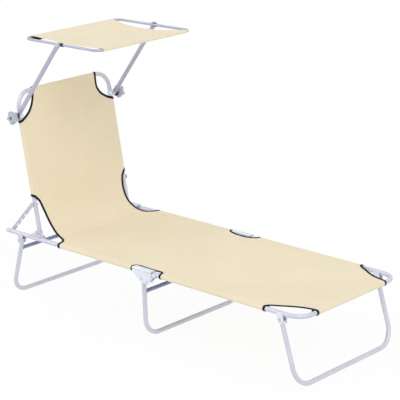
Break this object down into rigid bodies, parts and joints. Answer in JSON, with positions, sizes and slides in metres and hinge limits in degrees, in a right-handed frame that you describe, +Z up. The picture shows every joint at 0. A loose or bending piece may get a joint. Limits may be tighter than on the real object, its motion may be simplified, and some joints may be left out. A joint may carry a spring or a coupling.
{
  "type": "sun lounger",
  "caption": "Folding sun lounger of bent steel tube with a fabric sling, a ratchet backrest and a tilting canopy on two swing arms.",
  "frame": {"origin": "on the floor, at the centre of the bounding box's base", "axes": "+X towards the foot end, +Y across the bed to the far side, +Z up; the head is at -X"},
  "size_m": [1.4802, 0.591, 1.0443],
  "materials": {
    "painted_tube": "satin pale silver grey paint",
    "zinc_plate": "bright zinc plating",
    "steel_rivet": "plain steel",
    "grey_plastic": "moulded light grey",
    "black_plastic": "moulded black",
    "beige_fabric": "matt coated weave, cream beige",
    "navy_piping": "dark navy binding tape"
  },
  "bodies": {
    "seat_frame": {"seat_rail_near": "painted_tube", "seat_rail_far": "painted_tube", "rail_cap_near": "grey_plastic", "rail_cap_far": "grey_plastic", "rear_leg_bracket_near": "zinc_plate", "rear_leg_bracket_far": "zinc_plate", "middle_hinge_bracket_near": "zinc_plate", "middle_hinge_bracket_far": "zinc_plate", "middle_hinge_pin_near": "steel_rivet", "middle_hinge_pin_far": "steel_rivet", "back_pivot_bracket_near": "zinc_plate", "back_pivot_bracket_far": "zinc_plate", "back_pivot_pin_near": "steel_rivet", "back_pivot_pin_far": "steel_rivet", "rack_pin_near": "steel_rivet", "rack_pin_far": "steel_rivet", "seat_fabric": "beige_fabric"},
    "rear_legs": {"rear_leg_frame": "painted_tube", "rear_leg_crossbar": "painted_tube", "rear_leg_rivet_near": "steel_rivet", "rear_leg_rivet_far": "steel_rivet"},
    "middle_legs": {"middle_leg_frame": "painted_tube", "middle_leg_crossbar": "painted_tube", "middle_leg_rivet_near": "steel_rivet", "middle_leg_rivet_far": "steel_rivet"},
    "foot_section": {"foot_frame": "painted_tube", "foot_fabric": "beige_fabric", "foot_hinge_bracket_near": "zinc_plate", "foot_hinge_bracket_far": "zinc_plate", "foot_leg_bracket_near": "zinc_plate", "foot_leg_bracket_far": "zinc_plate"},
    "foot_legs": {"foot_leg_frame": "painted_tube", "foot_leg_rivet_near": "steel_rivet", "foot_leg_rivet_far": "steel_rivet"},
    "backrest": {"back_frame": "painted_tube", "back_fabric": "beige_fabric", "arm_clamp_near": "zinc_plate", "arm_clamp_far": "zinc_plate", "rack_bolt_near": "steel_rivet", "rack_bolt_far": "steel_rivet"},
    "rack_near": {"rack_near": "zinc_plate"},
    "rack_far": {"rack_far": "zinc_plate"},
    "canopy_arms": {"canopy_arm_near": "painted_tube", "canopy_arm_far": "painted_tube", "arm_washer_near": "black_plastic", "arm_washer_far": "black_plastic", "arm_rivet_near": "steel_rivet", "arm_rivet_far": "steel_rivet"},
    "canopy": {"canopy_frame": "painted_tube", "canopy_fabric": "beige_fabric", "canopy_clip_near": "black_plastic", "canopy_clip_far": "black_plastic"},
    "star_knob_near": {"star_knob_near": "grey_plastic"},
    "star_knob_far": {"star_knob_far": "grey_plastic"}
  },
  "joints": [
    {"name": "backrest_recline", "type": "hinge", "parent": "seat_frame", "child": "backrest", "pos_m": [-0.58685, 0, 0.276], "axis": [0, -1, 0], "range_deg": [-40, 79.5]},
    {"name": "rack_near_turn", "type": "hinge", "parent": "backrest", "child": "rack_near", "pos_m": [-0.60708, 0, 0.38514], "axis": [0, 1, 0], "range_deg": [-40, 79.5]},
    {"name": "rack_far_turn", "type": "hinge", "parent": "backrest", "child": "rack_far", "pos_m": [-0.60708, 0, 0.38514], "axis": [0, 1, 0], "range_deg": [-40, 79.5]},
    {"name": "canopy_arm_swing", "type": "hinge", "parent": "backrest", "child": "canopy_arms", "pos_m": [-0.66343, 0, 0.72761], "axis": [0, -1, 0], "range_deg": [-30, 50]},
    {"name": "canopy_tilt", "type": "hinge", "parent": "canopy_arms", "child": "canopy", "pos_m": [-0.42845, 0, 1.03384], "axis": [0, -1, 0], "range_deg": [-45, 45]},
    {"name": "knob_near_turn", "type": "hinge", "parent": "backrest", "child": "star_knob_near", "pos_m": [-0.66343, -0.28, 0.72761], "axis": [0, -1, 0], "continuous": true},
    {"name": "knob_far_turn", "type": "hinge", "parent": "backrest", "child": "star_knob_far", "pos_m": [-0.66343, 0.28, 0.72761], "axis": [0, 1, 0], "continuous": true},
    {"name": "foot_section_fold", "type": "hinge", "parent": "seat_frame", "child": "foot_section", "pos_m": [0.02715, 0, 0.23], "axis": [0, 1, 0], "range_deg": [0, 180]},
    {"name": "rear_legs_fold", "type": "hinge", "parent": "seat_frame", "child": "rear_legs", "pos_m": [-0.65485, 0, 0.2425], "axis": [0, -1, 0], "range_deg": [0, 106.32]},
    {"name": "middle_legs_fold", "type": "hinge", "parent": "seat_frame", "child": "middle_legs", "pos_m": [0.00015, 0, 0.238], "axis": [0, 1, 0], "range_deg": [0, 89.63]},
    {"name": "foot_legs_fold", "type": "hinge", "parent": "foot_section", "child": "foot_legs", "pos_m": [0.64415, 0, 0.2425], "axis": [0, 1, 0], "range_deg": [0, 106.88]}
  ],
  "couplings": [
    {"joint": "rack_near_turn", "follows": "backrest_recline", "ratio": 1},
    {"joint": "rack_far_turn", "follows": "backrest_recline", "ratio": 1},
    {"joint": "rear_legs_fold", "follows": "foot_section_fold", "ratio": 0.59067},
    {"joint": "middle_legs_fold", "follows": "foot_section_fold", "ratio": 0.49794},
    {"joint": "foot_legs_fold", "follows": "foot_section_fold", "ratio": 0.59378}
  ]
}
